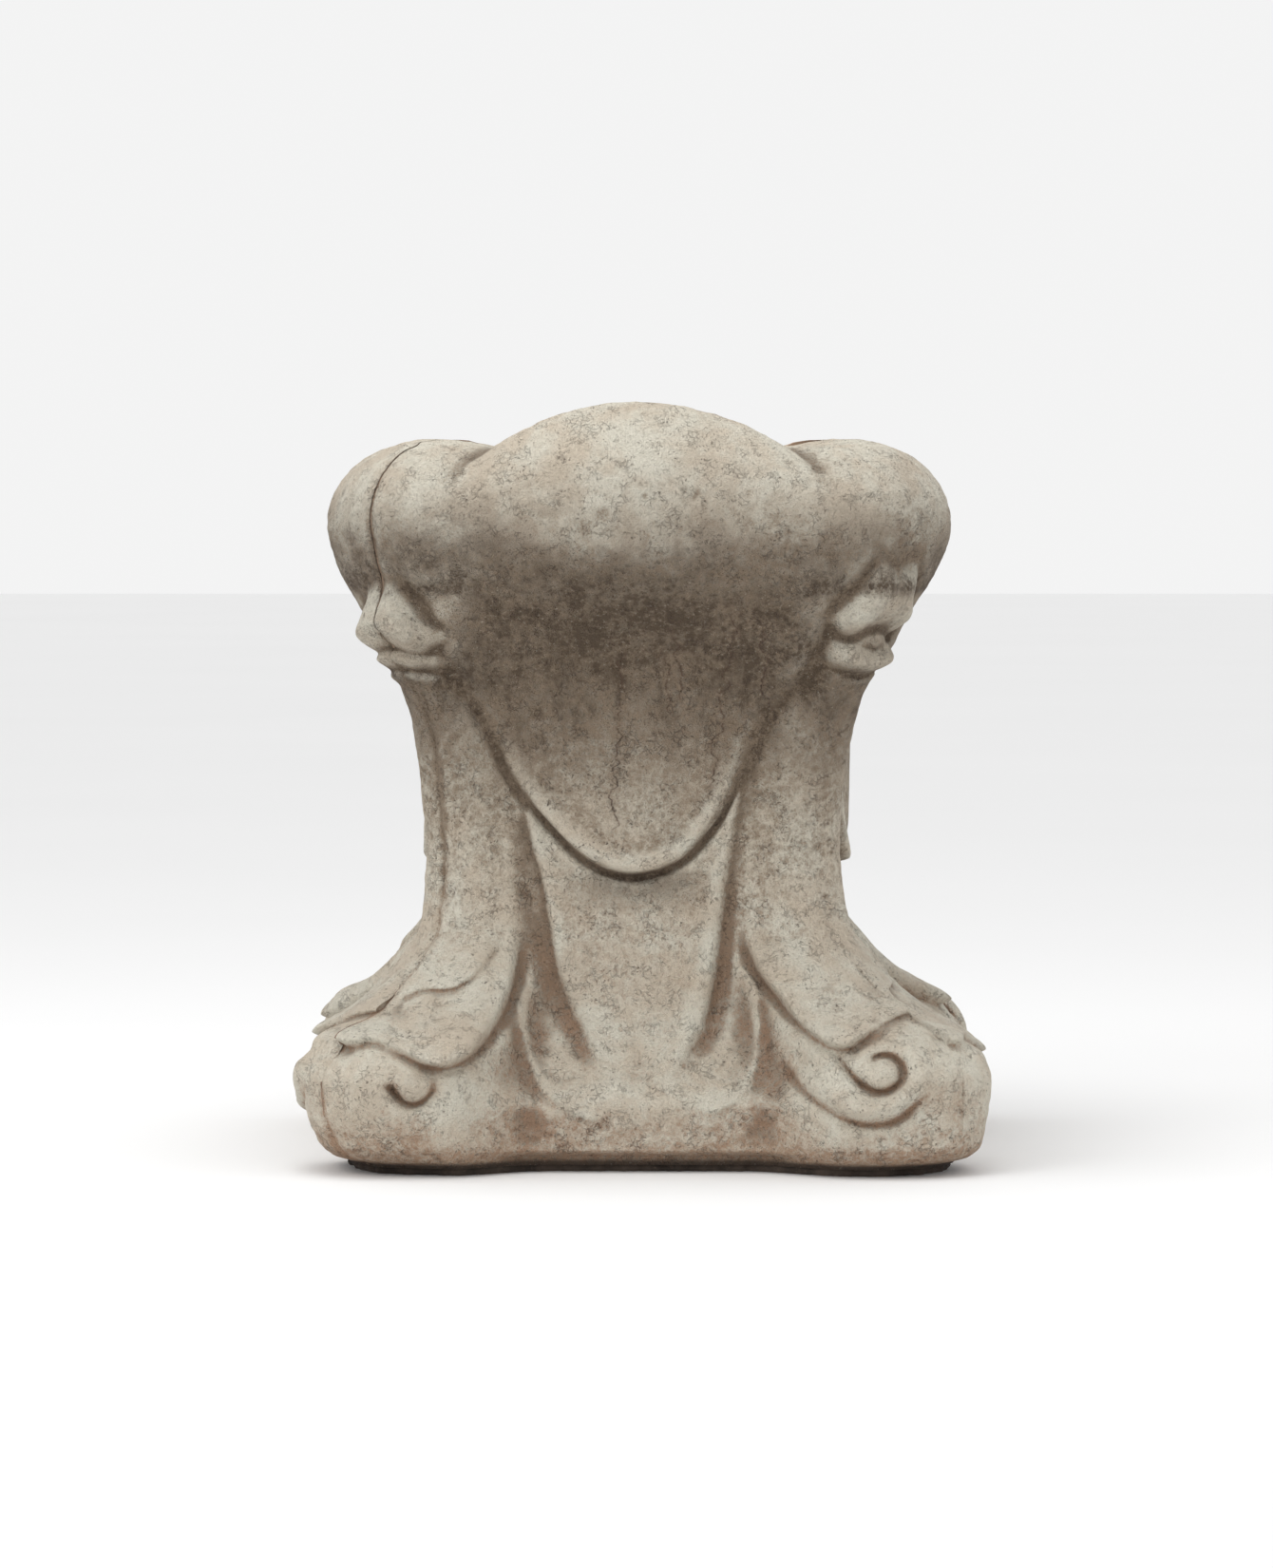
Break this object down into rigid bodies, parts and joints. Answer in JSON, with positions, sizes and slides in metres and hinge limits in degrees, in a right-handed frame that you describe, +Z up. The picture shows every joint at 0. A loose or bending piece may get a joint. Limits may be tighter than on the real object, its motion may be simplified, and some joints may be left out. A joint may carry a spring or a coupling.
{
  "type": "baptismal font",
  "caption": "Free-standing cast stone font with a lobed bowl, draped apron and scrolled feet, holding a brass basin with a lift-out plug.",
  "frame": {"origin": "on the floor, under the middle of the font", "axes": "+Z up, -Y towards the front, +X to the right when facing the font from its front"},
  "size_m": [0.7916, 0.7916, 0.9],
  "materials": {
    "cast_stone": "weathered limewashed cast stone, matt",
    "lime_mortar": "dull dirty lime mortar",
    "bedding_compound": "dull putty",
    "bronze": "dark bronze",
    "basin_brass": "worn spun brass",
    "fitting_brass": "turned brass, handled",
    "copper": "dull copper",
    "rubber": "matt black rubber"
  },
  "bodies": {
    "font": {"casting_front_right": "cast_stone", "casting_back_left": "cast_stone", "joint_mortar_front_left": "lime_mortar", "joint_mortar_back_right": "lime_mortar", "bed_mortar": "lime_mortar", "cramp_top_front_left": "bronze", "cramp_top_back_right": "bronze", "cramp_base_front_left": "bronze", "cramp_base_back_right": "bronze", "dowel_upper_front_left": "bronze", "dowel_upper_back_right": "bronze", "dowel_lower_front_left": "bronze", "dowel_lower_back_right": "bronze", "basin_bedding": "bedding_compound", "basin_flange": "basin_brass", "basin_hoop": "basin_brass", "basin_dish": "basin_brass", "waste_outlet": "fitting_brass", "outlet_gasket": "rubber", "backnut_washer": "fitting_brass", "backnut": "fitting_brass", "drain_pipe": "copper", "pipe_union_nut": "fitting_brass"},
    "plug": {"plug_body": "fitting_brass", "plug_seal": "rubber"},
    "plug_ring": {"plug_ring": "fitting_brass"}
  },
  "joints": [
    {"name": "plug_lift", "type": "slide", "parent": "font", "child": "plug", "axis": [0, 0, 1], "range_m": [0, 0.12]},
    {"name": "plug_ring_fold", "type": "hinge", "parent": "plug", "child": "plug_ring", "pos_m": [0, 0, 0.693], "axis": [0, -1, 0], "range_deg": [0, 178]}
  ]
}
